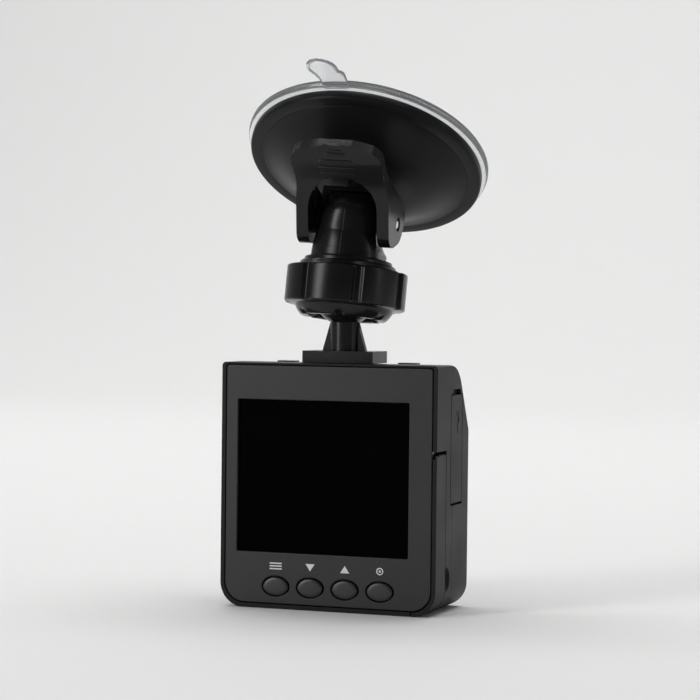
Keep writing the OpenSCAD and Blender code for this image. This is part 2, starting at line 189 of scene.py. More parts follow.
MM = 0.001
view_turn = radians(20.34)
view_rise = radians(1.23)
view_roll = radians(0.63)
view_distance = 597.7 * MM
view_target = Vector((5.9, -13.2, 67.9)) * MM

camera_data = bpy.data.cameras.new("camera")
camera_data.lens = 119.45
camera_data.sensor_width = 36
camera_data.clip_start = 0.01
camera_data.clip_end = 20
camera = link(bpy.data.objects.new("camera", camera_data))
back = Vector((sin(view_turn) * cos(view_rise), -cos(view_turn) * cos(view_rise), sin(view_rise)))
level = Vector((cos(view_turn), sin(view_turn), 0))
upright = back.cross(level)
across = level * cos(view_roll) + upright * sin(view_roll)
upward = upright * cos(view_roll) - level * sin(view_roll)
eye = view_target + back * view_distance
camera.matrix_world = Matrix((
    (across.x, upward.x, back.x, eye.x),
    (across.y, upward.y, back.y, eye.y),
    (across.z, upward.z, back.z, eye.z),
    (0, 0, 0, 1)))
bpy.context.scene.camera = camera


# ---------------------------------------------------------------- case
# Front and rear halves of the case, injection moulded in black ABS with a
# fine spark-eroded grain, screwed together from behind.

def piece_noise(tree, scale, detail):
    """Noise that is held to the piece."""
    where = tree.nodes.new("ShaderNodeTexCoord")
    texture = add_node(tree, "ShaderNodeTexNoise", {"Scale": scale, "Detail": detail})
    tree.links.new(where.outputs["Object"], texture.inputs["Vector"])
    return texture.outputs["Fac"]


def two_tones(tree, factor, dark, light):
    """Colour that drifts between two tones."""
    tone = tree.nodes.new("ShaderNodeMix")
    tone.data_type = "RGBA"
    tone.inputs["A"].default_value = (*dark, 1)
    tone.inputs["B"].default_value = (*light, 1)
    tree.links.new(factor, tone.inputs["Factor"])
    return tone.outputs["Result"]


def uneven_gloss(tree, surface, factor, low, high, factor_low=0, factor_high=1):
    """Roughness that drifts between two values."""
    gloss = add_node(tree, "ShaderNodeMapRange", {"From Min": factor_low, "From Max": factor_high,
                                                  "To Min": low, "To Max": high})
    tree.links.new(factor, gloss.inputs["Value"])
    tree.links.new(gloss.outputs["Result"], surface.inputs["Roughness"])


def plastic(name, colour, roughness, grain=5200, depth=0.00002, strength=0.25, shine=0.5, coat=0.0):
    """Moulded plastic: fine grain, slow drift of gloss, and faint dust."""
    material, tree, surface = bare_material(name)
    surface.inputs["IOR"].default_value = 1.5
    surface.inputs["Coat Weight"].default_value = coat
    surface.inputs["Coat Roughness"].default_value = 0.12
    surface.inputs["Specular IOR Level"].default_value = shine
    slow = piece_noise(tree, 70, 4)
    specks = tree.nodes.new("ShaderNodeValToRGB")
    specks.color_ramp.elements[0].position = 0.74
    specks.color_ramp.elements[0].color = (0, 0, 0, 1)
    specks.color_ramp.elements[1].position = 0.80
    specks.color_ramp.elements[1].color = (0.05, 0.05, 0.05, 1)
    tree.links.new(piece_noise(tree, 1500, 8), specks.inputs["Fac"])
    dusty = tree.nodes.new("ShaderNodeMix")
    dusty.data_type = "RGBA"
    dusty.blend_type = "ADD"
    dusty.inputs["Factor"].default_value = 1
    tone = two_tones(tree, slow, [0.82 * c for c in colour], [1.18 * c for c in colour])
    tree.links.new(tone, dusty.inputs["A"])
    tree.links.new(specks.outputs["Color"], dusty.inputs["B"])
    tree.links.new(dusty.outputs["Result"], surface.inputs["Base Color"])
    uneven_gloss(tree, surface, slow, roughness - 0.04, roughness + 0.05, 0.3, 0.7)
    relief(tree, surface, piece_noise(tree, grain, 3), strength, depth)
    return material


def finish(piece, material):
    """Gives a piece one material."""
    piece.data.materials.clear()
    piece.data.materials.append(material)
    return piece


def shaped(piece):
    """Mesh of a piece as its modifiers shape it."""
    bpy.context.view_layer.update()
    graph = bpy.context.evaluated_depsgraph_get()
    return bpy.data.meshes.new_from_object(piece.evaluated_get(graph))


def settle(piece, smooth=35):
    """Turns a piece's modifiers into its mesh and keeps its large faces flat to the light."""
    mesh = shaped(piece)
    piece.modifiers.clear()
    piece.data = mesh
    round_shading(mesh, smooth)
    even = piece.modifiers.new("even", "WEIGHTED_NORMAL")
    even.keep_sharp = True
    even.weight = 100
    piece.data = shaped(piece)
    piece.modifiers.clear()
    return piece


def whole_faces(source, name, gap):
    """Copy of a mesh with its near points joined and each flat face made whole."""
    solid = bmesh.new()
    solid.from_mesh(source)
    bmesh.ops.remove_doubles(solid, verts=solid.verts, dist=gap)
    bmesh.ops.dissolve_limit(solid, angle_limit=radians(0.5), verts=solid.verts, edges=solid.edges)
    mesh = bpy.data.meshes.new(name)
    solid.to_mesh(mesh)
    solid.free()
    return mesh


def ease_corners(piece, width, angle, segments):
    """Rounds the corners of a piece that are sharper than the angle."""
    corner = piece.modifiers.new("corner", "BEVEL")
    corner.width = width
    corner.segments = segments
    corner.limit_method = "ANGLE"
    corner.angle_limit = radians(angle)
    return settle(piece, smooth=40)


def eased(node, name, width, segments=2):
    """New piece in the shape of a CAD node, with its corners eased by a small round."""
    mesh = whole_faces(frame["nodes"][node].data, name, 1e-6)
    return ease_corners(link(bpy.data.objects.new(name, mesh)), width, 35, segments)


case_plastic = plastic("case_abs", (0.015, 0.015, 0.0155), 0.42, shine=0.12)
for node in ("front_housing", "rear_housing"):
    shell = finish(eased(node, node + "_shell", 0.25 * MM), case_plastic)
    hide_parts(node)
    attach(shell, "camera")


# ---------------------------------------------------------------- front panel
# Flat panel of satin ABS that drops into the front of the case. The screen
# and the four keys come through it. The key symbols are printed in white.

def oval_outline(x, z, half_l, half_h, steps=48):
    """Points of an ellipse in the plane of the screen."""
    return [(x + half_l * cos(2 * pi * i / steps), z + half_h * sin(2 * pi * i / steps))
            for i in range(steps)]


def corner_outline(x1, x2, z1, z2, radii, steps=10):
    """Rectangle with four rounded corners: lower right, upper right, upper left, lower left."""
    points = []
    corners = ((x2, z1, -1, 1), (x2, z2, -1, -1), (x1, z2, 1, -1), (x1, z1, 1, 1))
    for quarter, ((x, z, sx, sz), r) in enumerate(zip(corners, radii)):
        for i in range(steps + 1):
            turn = (quarter - 1 + i / steps) * pi / 2
            points.append((x + sx * r + r * cos(turn), z + sz * r + r * sin(turn)))
    return points


def plate(name, outlines, front, thickness, edge):
    """Flat plate facing the viewer, with its front at y = front and eased edges."""
    curve = bpy.data.curves.new(name, "CURVE")
    curve.dimensions = "2D"
    curve.fill_mode = "BOTH"
    curve.extrude = thickness / 2 - edge
    curve.bevel_depth = edge
    curve.bevel_resolution = 2
    curve.offset = -edge
    for outline in outlines:
        spline = curve.splines.new("POLY")
        spline.points.add(len(outline) - 1)
        for point, (x, z) in zip(spline.points, outline):
            point.co = (x, z, 0, 1)
        spline.use_cyclic_u = True
    drawn = link(bpy.data.objects.new(name + "_curve", curve))
    mesh = shaped(drawn)
    bpy.data.objects.remove(drawn)
    mesh.transform(Matrix.Translation((0, front + thickness / 2, 0)) @ Matrix.Rotation(pi / 2, 4, "X"))
    return settle(link(bpy.data.objects.new(name, whole_faces(mesh, name, 1e-7))), smooth=40)


panel_low, panel_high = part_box("front_panel")
panel_front = panel_low.y
window_low, window_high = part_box("display_window")
key_names = ("menu", "down", "up", "mode")
key_boxes = [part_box(name + "_button") for name in key_names]
key_middles = [(low + high) / 2 for low, high in key_boxes]
key_hole = (3.85 * MM, 2.7 * MM)

window_margin = 0.1 * MM
outlines = [
    corner_outline(panel_low.x, panel_high.x, panel_low.z, panel_high.z,
                   [5.3 * MM, 0.8 * MM, 0.8 * MM, 5.3 * MM]),
    corner_outline(window_low.x - window_margin, window_high.x + window_margin,
                   window_low.z - window_margin, window_high.z + window_margin, [0.25 * MM] * 4)]
outlines += [oval_outline(m.x, m.z, *key_hole) for m in key_middles]
panel_plastic = plastic("panel_abs", (0.016, 0.016, 0.017), 0.4, grain=6500, strength=0.18, shine=0.4)
panel = finish(plate("front_panel_plate", outlines, panel_front, panel_high.y - panel_front, 0.22 * MM),
               panel_plastic)
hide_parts("front_panel")
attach(panel, "camera")


def white_ink():
    """Screen-printed white ink, slightly uneven."""
    material, tree, surface = bare_material("white_ink")
    surface.inputs["Roughness"].default_value = 0.55
    cover = add_node(tree, "ShaderNodeTexNoise", {"Scale": 3000})
    tone = two_tones(tree, cover.outputs["Fac"], (0.62, 0.62, 0.62), (0.86, 0.86, 0.86))
    tree.links.new(tone, surface.inputs["Base Color"])
    return material


symbol_rise = 5.3 * MM
symbol_half = 0.95 * MM
bar_length = 3.4 * MM
bar_pitch = 0.72 * MM
bar_height = 0.34 * MM
arrow_half = 1.25 * MM
dial_rings = ((symbol_half, 32), (0.68 * MM, 32), (0.3 * MM, 24))


def key_symbols():
    """Generic symbols above the keys: list bars, arrow down, arrow up, and a dial."""
    menu, down, up, mode = key_middles
    z = menu.z + symbol_rise
    bars = [corner_outline(menu.x - bar_length / 2, menu.x + bar_length / 2,
                           z + row * bar_pitch - bar_height / 2, z + row * bar_pitch + bar_height / 2,
                           [0.05 * MM] * 4, 2) for row in (-1, 0, 1)]
    arrows = [[(m.x - arrow_half, z - way * symbol_half), (m.x + arrow_half, z - way * symbol_half),
               (m.x, z + way * symbol_half)] for m, way in ((down, -1), (up, 1))]
    dial = [oval_outline(mode.x, z, r, r, steps) for r, steps in dial_rings]
    return {"menu": bars, "down": arrows[:1], "up": arrows[1:], "mode": dial}


ink = white_ink()
for name, shapes in key_symbols().items():
    print_piece = finish(plate(name + "_symbol", shapes, panel_front - 0.02 * MM, 0.03 * MM, 0.0), ink)
    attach(print_piece, "camera")


# ---------------------------------------------------------------- screen window
# Clear acrylic window, printed black on its back, let into the opening of the
# panel over the display. The display is off.

def black_window():
    """Polished window over black, with faint wiping marks."""
    material, tree, surface = bare_material("black_window")
    surface.inputs["IOR"].default_value = 1.45
    surface.inputs["Specular IOR Level"].default_value = 0.008
    wipe = piece_noise(tree, 60, 6)
    tone = two_tones(tree, wipe, (0.0007, 0.0007, 0.0008), (0.0016, 0.0016, 0.0018))
    tree.links.new(tone, surface.inputs["Base Color"])
    uneven_gloss(tree, surface, wipe, 0.05, 0.13)
    return material


window_outline = corner_outline(window_low.x, window_high.x, window_low.z, window_high.z, [0.2 * MM] * 4)
window = finish(plate("screen_window", [window_outline], window_low.y,
                      window_high.y - window_low.y, 0.08 * MM), black_window())
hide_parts("display_window")
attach(window, "camera")


# ---------------------------------------------------------------- front keys
# Four oval keys moulded in black ABS. Each has a low dome, a flange that
# stops it behind the panel, and a foot that rests on its switch.

def skin(name, rings, smooth=35, ring=False):
    """Skin through rings of points: solid with closed ends, or a ring joined last to first."""
    steps = len(rings[0])
    points = [point for row in rings for point in row]
    faces = []
    for row in range(len(rings) if ring else len(rings) - 1):
        a, b = row * steps, (row + 1) % len(rings) * steps
        for i in range(steps):
            j = (i + 1) % steps
            faces.append((a + i, a + j, b + j, b + i))
    if not ring:
        faces.append(tuple(range(steps)))
        faces.append(tuple(range(len(points) - steps, len(points))))
    return mesh_piece(name, points, faces, smooth)


def oval_body(name, middle, rows, steps=64, ring=False):
    """Oval body along Y through rows of half length, half height and y in millimetres."""
    rings = [[(x, y * MM, z) for x, z in oval_outline(middle.x, middle.z, half_l * MM, half_h * MM, steps)]
             for half_l, half_h, y in rows]
    return skin(name, rings, ring=ring)


def turned_body(name, middle, rows, steps, ring=False):
    """Round body along Y through rows of radius and y in millimetres."""
    return oval_body(name, middle, [(r, r, y) for r, y in rows], steps, ring)


key_plastic = plastic("key_abs", (0.019, 0.019, 0.020), 0.3, grain=6000, strength=0.12)
key_front = key_boxes[0][0].y / MM
key_back = key_boxes[0][1].y / MM
key_rows = [
    (0.5, 0.35, key_front), (1.5, 1.0, key_front + 0.005), (2.4, 1.6, key_front + 0.02),
    (2.95, 1.95, key_front + 0.05), (3.25, 2.14, key_front + 0.11), (3.42, 2.28, key_front + 0.22),
    (3.5, 2.35, key_front + 0.5), (3.5, 2.35, key_back - 1.2), (4.2, 3.05, key_back - 1.15),
    (4.2, 3.05, key_back - 0.65), (1.0, 1.0, key_back - 0.65), (1.0, 1.0, key_back)]
for name, key_middle in zip(key_names, key_middles):
    key = finish(oval_body(name + "_key_cap", key_middle, key_rows), key_plastic)
    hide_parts(name + "_button")
    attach(key, name + "_key")


# ---------------------------------------------------------------- battery door
# Curved strip of the same ABS that wraps the lower right corner and turns on
# a steel pin near its top. Behind it are the battery and its gold contacts.

def metal(name, colour, roughness):
    """Plain metal with fine drawing marks."""
    material, tree, surface = bare_material(name)
    surface.inputs["Metallic"].default_value = 1
    marks = piece_noise(tree, 400, 5)
    tone = two_tones(tree, marks, [0.8 * c for c in colour], colour)
    tree.links.new(tone, surface.inputs["Base Color"])
    uneven_gloss(tree, surface, marks, roughness - 0.06, roughness + 0.08)
    relief(tree, surface, marks, 0.15, 0.00003)
    return material


def dress(node, material):
    """Gives a CAD node's own object one material in all its slots."""
    for slot in frame["nodes"][node].material_slots:
        slot.material = material


steel = metal("plated_steel", (0.62, 0.61, 0.59), 0.28)
battery_door = finish(eased("battery_door", "battery_door_skin", 0.22 * MM), case_plastic)
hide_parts("battery_door")
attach(battery_door, "battery_cover")
dress("battery_door_pin", steel)
dress("battery", plastic("battery_sleeve", (0.05, 0.13, 0.30), 0.3, grain=900, coat=0.3))
dress("battery_contacts", metal("gold_plate", (0.85, 0.62, 0.25), 0.25))


# ---------------------------------------------------------------- port door
# Narrow ABS flap over the socket and the card slot. It snaps shut and turns on
# a pin at its foot. A plug symbol is sunk in its face, and its floor is painted
# near-black as painted shade in the recess.

def prism(name, outline, place, low, high):
    """Prism with its outline across the placement's Z, from low to high, in millimetres."""
    count = len(outline)
    points = [place @ (Vector((u, v, w)) * MM) for w in (low, high) for u, v in outline]
    faces = [tuple(range(count)), tuple(range(count, 2 * count))]
    faces += [(i, (i + 1) % count, count + (i + 1) % count, count + i) for i in range(count)]
    return mesh_piece(name, points, faces)


def combine(piece, other, way):
    """Boolean of two pieces, kept in the first."""
    join = piece.modifiers.new("join", "BOOLEAN")
    join.object = other
    join.operation = way
    join.solver = "EXACT"
    settle(piece)
    bpy.data.objects.remove(other)
    return piece


# An outline given as (y, z), and the prism along X.
side_plane = Matrix(((0, 0, 1, 0), (1, 0, 0, 0), (0, 1, 0, 0), (0, 0, 0, 1)))

port_low, port_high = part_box("port_door")
port_face = port_high.x / MM
symbol_y = port_low.y / MM + 5.2
symbol_z = port_high.z / MM - 6.9
symbol_depth = 0.3
shade_inlay_depth = 0.36
plug_half = [(0.22, -3.1), (0.22, -0.4), (0.85, -0.4), (1.3, 0.15), (1.3, 1.5), (1.02, 1.5),
             (1.02, 2.8), (0.5, 2.8), (0.5, 1.5)]
plug_outline = [(symbol_y + y, symbol_z + z) for y, z in plug_half]
plug_outline += [(symbol_y - y, symbol_z + z) for y, z in reversed(plug_half)]
port_door = finish(eased("port_door", "port_door_skin", 0.15 * MM), case_plastic)
combine(port_door, prism("plug_cutter", plug_outline, side_plane, port_face - symbol_depth,
                         port_face + 0.5), "DIFFERENCE")
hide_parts("port_door")
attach(port_door, "port_cover")
# Near-black inlay at the floor of the sunk plug: painted shade, colour standing in for the shadow in the
# recess.
plug_painted_shade = finish(prism("plug_symbol_shade", plug_outline, side_plane, port_face - shade_inlay_depth,
                         port_face - shade_inlay_depth + 0.2),
                   plastic("painted_recess_shade", (0.002, 0.002, 0.002), 0.6, grain=2500))
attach(plug_painted_shade, "port_cover")
dress("port_door_pin", steel)
socket_steel = metal("socket_shell", (0.55, 0.55, 0.56), 0.34)
dress("usb_socket", socket_steel)
dress("card_socket", socket_steel)
dress("memory_card", plastic("card_black", (0.012, 0.012, 0.014), 0.45, grain=3000))


# ---------------------------------------------------------------- top keys and rail
# Two small oblong keys in the top of the case, for power and recording,
# and the T rail that the foot of the mount slides on, moulded with the case.

for name in ("power", "record"):
    top_key = finish(eased(name + "_button", name + "_key_cap", 0.2 * MM, segments=3), key_plastic)
    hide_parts(name + "_button")
    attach(top_key, name + "_key")
rail = finish(eased("mount_rail", "mount_rail_shape", 0.15 * MM), case_plastic)
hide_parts("mount_rail")
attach(rail, "camera")


# ---------------------------------------------------------------- inside
# Display, steel bracket, boards with their switches, speaker and microphone,
# screwed or clipped to the inside of the case. They are seen only when it is open.

dress("display_module", plastic("display_back", (0.32, 0.33, 0.34), 0.4, grain=1200))
board_green = plastic("board_green", (0.015, 0.11, 0.045), 0.35, grain=1800, strength=0.4)
for node in ("main_board", "key_board", "sensor_board"):
    dress(node, board_green)
for node in ("display_bracket", "key_switches", "top_switches", "speaker", "microphone"):
    dress(node, steel)


# ---------------------------------------------------------------- lens
# Ring of satin black trim with two turned grooves, pressed into the back, with
# a flat cover glass over a domed lens in its barrel. Six LEDs sit around it.

def clear(name, colour, roughness, waviness, ior=1.45, passing=1.0):
    """Clear moulded plastic or glass with a slightly wavy surface."""
    material, tree, surface = bare_material(name)
    surface.inputs["IOR"].default_value = ior
    surface.inputs["Transmission Weight"].default_value = passing
    wave = piece_noise(tree, waviness, 3)
    tone = two_tones(tree, wave, [0.94 * c for c in colour], colour)
    tree.links.new(tone, surface.inputs["Base Color"])
    uneven_gloss(tree, surface, wave, roughness, roughness + 0.06)
    relief(tree, surface, wave, 0.2, 0.0001)
    return material


lens_low, lens_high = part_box("lens_ring")
lens_middle = (lens_low + lens_high) / 2
case_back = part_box("rear_housing")[1].y / MM
ring_top = lens_high.y / MM
trim_black = plastic("trim_black", (0.012, 0.012, 0.013), 0.24, grain=4000, strength=0.1, coat=0.4)
ring_rows = [(6.0, case_back - 2), (7.15, case_back - 2), (7.15, case_back), (10.5, case_back)]
for groove in (0.9, 1.9):
    ring_rows += [(10.5, case_back + groove - 0.25), (10.22, case_back + groove - 0.1),
                  (10.22, case_back + groove + 0.1), (10.5, case_back + groove + 0.25)]
ring_rows += [(10.5, ring_top - 0.7), (10.42, ring_top - 0.35), (10.2, ring_top - 0.1), (9.9, ring_top),
              (8.7, ring_top), (8.4, ring_top - 0.06), (8.1, ring_top - 0.3), (8.02, ring_top - 0.6),
              (8.02, ring_top - 1.2), (6.0, ring_top - 1.2)]
lens_ring = finish(turned_body("lens_ring_trim", lens_middle, ring_rows, 128, ring=True), trim_black)
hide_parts("lens_ring")
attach(lens_ring, "camera")

cover_low, cover_high = [corner.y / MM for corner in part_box("lens_cover")]
cover_rows = [(0.5, cover_low), (7.9, cover_low), (7.95, cover_low + 0.05), (7.95, cover_high - 0.2),
              (7.85, cover_high - 0.05), (7.6, cover_high), (0.5, cover_high)]
cover = finish(turned_body("lens_cover_glass", lens_middle, cover_rows, 128),
               clear("cover_glass", (0.96, 0.97, 0.98), 0.01, 20, ior=1.5))
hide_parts("lens_cover")
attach(cover, "camera")

barrel_low, barrel_high = [corner.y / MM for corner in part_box("lens_barrel")]
barrel_rows = [(0.3, barrel_low), (5.0, barrel_low), (5.0, barrel_high - 0.15), (4.85, barrel_high),
               (4.3, barrel_high), (4.1, barrel_high - 0.35), (3.8, barrel_high - 0.4),
               (3.6, barrel_high - 0.8), (3.3, barrel_high - 0.9), (3.2, barrel_high - 3.4),
               (0.3, barrel_high - 3.4)]
barrel_black = plastic("barrel_black", (0.006, 0.006, 0.007), 0.4, grain=5000)
barrel = finish(turned_body("lens_barrel_tube", lens_middle, barrel_rows, 96), barrel_black)
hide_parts("lens_barrel")
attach(barrel, "camera")
dome_radius = 3.15
dome_rise = 2.3
dome_base = barrel_high - 3.2
dome_rows = [(dome_radius * sin(radians(a)), dome_base + dome_rise * cos(radians(a)))
             for a in range(4, 91, 7)]
dome_rows += [(dome_radius, dome_base - 0.15), (0.3, dome_base - 0.15)]
lens_dome = finish(turned_body("lens_dome", lens_middle, dome_rows, 96),
                   clear("coated_lens", (0.55, 0.62, 0.9), 0.01, 15, ior=1.6, passing=0.8))
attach(lens_dome, "camera")
dress("lens_holder", barrel_black)


def led_rows():
    """Profile of a small round LED with a domed tip."""
    low, high = [corner.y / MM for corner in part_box("ir_leds")]
    dome = [(1.5 * cos(radians(a)), high - 0.75 + 0.85 * sin(radians(a))) for a in range(0, 85, 12)]
    return [(0.2, low), (1.5, low)] + dome + [(0.1, high + 0.1)]


led_clear = clear("led_clear", (0.62, 0.60, 0.72), 0.05, 300, passing=0.7)
led_circle = 15.5 * MM
for count, turn in enumerate((-30, 0, 30, 150, 180, 210)):
    spot = lens_middle + Vector((cos(radians(turn)), 0, sin(radians(turn)))) * led_circle
    led = finish(turned_body("led_%d" % (count + 1), spot, led_rows(), 32), led_clear)
    if count == 0:
        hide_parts("ir_leds")
    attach(led, "camera")


# ---------------------------------------------------------------- screws
# Four plated steel screws with cross recesses, sunk in the back, that hold the
# two halves of the case together.

def cross_outline(x, z, arm, half):
    """Outline of a cross."""
    corner = [(half, half), (half, arm), (-half, arm), (-half, half), (-arm, half), (-arm, -half),
              (-half, -half), (-half, -arm), (half, -arm), (half, -half), (arm, -half), (arm, half)]
    return [(x + u, z + v) for u, v in corner]


screws = finish(eased("housing_screws", "case_screws", 0.25 * MM, segments=3), steel)
screw_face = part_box("housing_screws")[1].y
recess_depth = 0.8 * MM
for x, z in ((-25, 5.6), (25, 5.6), (-12, 43.5), (12, 43.5)):
    recess = plate("recess", [cross_outline(x * MM, z * MM, 1.15 * MM, 0.28 * MM)],
                   screw_face - recess_depth, 2 * MM, 0)
    combine(screws, recess, "DIFFERENCE")
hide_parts("housing_screws")
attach(screws, "camera")


# ---------------------------------------------------------------- ball stud
# Foot, ribbed stem and ball moulded in one piece of glass-filled nylon. The
# foot slides on the rail of the case.

nylon = plastic("black_nylon", (0.008, 0.008, 0.0082), 0.24, grain=2600, depth=0.000015,
                strength=0.12, shine=0.28)
stud = finish(eased("ball_stud", "ball_stud_shape", 0.3 * MM, segments=3), nylon)
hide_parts("ball_stud")
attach(stud, "foot")


# ---------------------------------------------------------------- seat and clamp ring
# White nylon seat above the ball and split black ring below it. The nut
# squeezes both on the ball.

dress("ball_seat", plastic("white_nylon", (0.72, 0.70, 0.64), 0.4, grain=2000))
clamp = finish(eased("clamp_ring", "clamp_ring_shape", 0.2 * MM), nylon)
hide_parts("clamp_ring")
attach(clamp, "arm")


# ---------------------------------------------------------------- neck
# Hollow nylon column over the seat. It narrows upwards to a flat-sided tongue
# that the fork of the post straddles, behind a domed front at full width. The
# mould left a seam down its front.

def local_frame(origin, along, across):
    """Placement with Z along one direction and X as near as possible to another."""
    z = Vector(along).normalized()
    x = (Vector(across) - z * Vector(across).dot(z)).normalized()
    y = z.cross(x)
    return Matrix(((x.x, y.x, z.x, origin[0]), (x.y, y.y, z.y, origin[1]),
                   (x.z, y.z, z.z, origin[2]), (0, 0, 0, 1)))


def placed_skin(name, rings, place, smooth, ring=False):
    """Skin through rings of points given in millimetres in a placement."""
    return skin(name, [[place @ (Vector(point) * MM) for point in row] for row in rings], smooth, ring)


def between(x, table):
    """Value at x on the line through a table of pairs."""
    for (x1, y1), (x2, y2) in zip(table, table[1:]):
        if x <= x2:
            return y1 + (y2 - y1) * max(0, x - x1) / (x2 - x1)
    return table[-1][1]


joint_of = {joint["name"]: joint for joint in frame["joints"]}
neck_frame = local_frame(joint_of["ball_turn"]["pos_m"], joint_of["ball_turn"]["axis"],
                         joint_of["lever_swing"]["axis"])
pin_point = Vector(joint_of["cup_tilt"]["pos_m"])
pin_rise = (pin_point - Vector(joint_of["ball_turn"]["pos_m"])).length / MM
neck_steps = 320
column_table = [(8, 10.7), (11, 10.45), (13, 10.15), (15.5, 9.75), (19, 9.4), (30, 9.4)]
shoulder_top = 9.1
front_half = 9.15
tongue_half = 7
tongue_low = 15
tongue_fillet = 5
dome_low = 16
dome_top = pin_rise + 8.6
dome_half = 9.5
dome_depth = 9.4
back_radius = 7
back_flare = 3
flare_low = 14
crown_half = 9.2
crown_rise = 7.15
seam_depth = 0.05
seam_half = 0.15
edge_sharpness = 26
no_limit = 30


def neck_radius(turn, z):
    """Distance of the neck's surface from its axis, rounded where flats and column meet."""
    limits = [between(z, column_table)]
    ahead = -sin(turn) > 0.59 * abs(cos(turn))
    flat = front_half if z > shoulder_top else no_limit
    if z > tongue_low and not ahead:
        flat = tongue_half
    elif z > 10.05 and not ahead:
        flat = min(flat, tongue_half + tongue_fillet - sqrt(tongue_fillet ** 2 - (tongue_low - z) ** 2))
    limits.append(flat / max(abs(cos(turn)), 1e-3))
    over = z - pin_rise
    depth = no_limit
    if ahead and z > 11:
        below = 0.4 * max(0, dome_low - z)
        share = max(0, z - dome_low) / (dome_top - dome_low)
        limits.append(dome_half * sqrt(1 - share ** 2.4) + below)
        depth = sqrt(dome_depth ** 2 - max(0, over) ** 2) + below
    elif sin(turn) >= 0 and over > 0:
        depth = sqrt(max(0.01, back_radius ** 2 - over ** 2))
    elif sin(turn) >= 0 and z > flare_low:
        depth = back_radius + back_flare * (1 - (z - flare_low) / (pin_rise - flare_low)) ** 1.5
    limits.append(depth / max(abs(sin(turn)), 1e-3))
    if over > 0 and not ahead:
        limits.append(crown_half * sqrt(max(1e-4, 1 - (over / crown_rise) ** 2.6)))
    radius = sum(limit ** -edge_sharpness for limit in limits) ** (-1 / edge_sharpness)
    if sin(turn) < 0 and z > 9:
        radius -= seam_depth * max(0, 1 - abs(cos(turn)) * radius / seam_half)
    return radius


def round_ring(radius, z, steps):
    """Ring of points around Z."""
    turns = [2 * pi * i / steps for i in range(steps)]
    return [(radius * cos(turn), radius * sin(turn), z) for turn in turns]


def neck_rings():
    """Rings of the neck from inside its socket, round the skirt and up to the tongue."""
    rings = [round_ring(r, z, neck_steps) for r, z in (
        (9.36, 8.68), (9.36, 0), (9.5, -0.6), (11.3, -0.6), (11.6, -0.3), (11.6, 8.45), (11.5, 8.7),
        (11.3, 8.8), (10.8, 8.8))]
    turns = [2 * pi * i / neck_steps for i in range(neck_steps)]
    height = 8.95
    while height < pin_rise + 7:
        reach = [neck_radius(turn, height) for turn in turns]
        rings.append([(r * cos(turn), r * sin(turn), height) for r, turn in zip(reach, turns)])
        height += 0.3 if height < pin_rise + 4 else 0.15
    return rings


neck = finish(placed_skin("neck_column", neck_rings(), neck_frame, smooth=50), nylon)
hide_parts("neck")
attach(neck, "arm")


# ---------------------------------------------------------------- locking nut
# Moulded nut with seven broad lobes for the fingers. It turns on the neck and
# draws the clamp ring up on the ball. Six small arches relieve its lower lip.

nut_steps = 420
lobe_angle = 360 / 7
groove_start = -63.6
groove_half = 5.6
groove_slope = 2.6
groove_sink = 0.9
arch_pitch = 60
arch_start = -80
arch_half = 6.5
arch_lift = 0.7
arch_top = -5.2


def nut_ring(radius, z, grip):
    """Ring of the nut, with its grooves sunk by the grip's share and the lip arched."""
    ring = []
    for i in range(nut_steps):
        turn = 360 * i / nut_steps
        off = (turn - groove_start) % lobe_angle
        off = min(off, lobe_angle - off)
        sink = 0.08 * ((lobe_angle / 2 - off) / 20) ** 2
        if off < groove_half:
            sink += groove_sink * min(1, (groove_half - off) / groove_slope)
        r = radius - grip * sink
        arch = (turn - arch_start) % arch_pitch
        arch = min(arch, arch_pitch - arch) / arch_half
        lift = arch_lift * sqrt(max(0, 1 - arch ** 2)) * min(1, max(0, arch_top - z) / 1.3)
        ring.append((r * cos(radians(turn)), r * sin(radians(turn)), z + lift))
    return ring


# Radius, height and share of the grooves at each ring of the nut.
nut_profile = [
    (11.75, 7.5, 0), (11.9, 7.7, 0), (12.3, 7.7, 0), (12.5, 7.55, 0), (12.75, 7.0, 0), (13.1, 6.4, 0),
    (13.3, 6.25, 0), (15.3, 6.15, 1), (15.65, 6.1, 1), (15.85, 5.97, 1), (15.93, 5.75, 1),
    (15.95, 5.5, 1), (15.95, -3.0, 1), (15.9, -3.3, 1), (15.72, -3.5, 1), (15.4, -3.6, 1),
    (13.3, -3.75, 0), (13.0, -3.9, 0), (12.75, -4.6, 0), (12.3, -5.4, 0), (11.7, -6.1, 0),
    (11.3, -6.5, 0), (11.0, -6.65, 0), (9.5, -6.65, 0), (9.25, -6.5, 0), (9.2, -6.2, 0),
    (9.2, -4.5, 0), (11.75, -4.5, 0)]
nut = finish(placed_skin("locking_nut_shape", [nut_ring(r, z, grip) for r, z, grip in nut_profile],
                         neck_frame, smooth=32, ring=True), nylon)
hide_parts("locking_nut")
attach(nut, "nut")


# ---------------------------------------------------------------- post and pin
# Nylon fork and post that pull the middle of the soft pad, and the plated
# steel pin that the neck, the fork and the lever turn on.

post = finish(eased("pull_post", "pull_post_shape", 0.2 * MM), nylon)
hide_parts("pull_post")
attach(post, "post")
pin_frame = local_frame(pin_point, joint_of["lever_swing"]["axis"], joint_of["ball_turn"]["axis"])
pin_rows = [(0.9, -12.3), (1.1, -12.2), (1.5, -11.7), (1.5, 11.7), (1.1, 12.2), (0.9, 12.3)]
pin = finish(placed_skin("pivot_pin_rod", [round_ring(r, z, 48) for r, z in pin_rows], pin_frame,
                         smooth=25), metal("bright_pin", (0.85, 0.85, 0.84), 0.18))
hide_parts("pivot_pin")
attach(pin, "post")


# ---------------------------------------------------------------- lever
# Nylon cam lever with two arms beside the neck, an arch between them, and a
# flared thumb plate with raised ridges. Pressing it down pulls the pad.

lever_lean = Matrix.Rotation(radians(21), 4, "X")
lever_frame = Matrix.Translation(pin_point) @ neck_frame.to_3x3().to_4x4() @ lever_lean

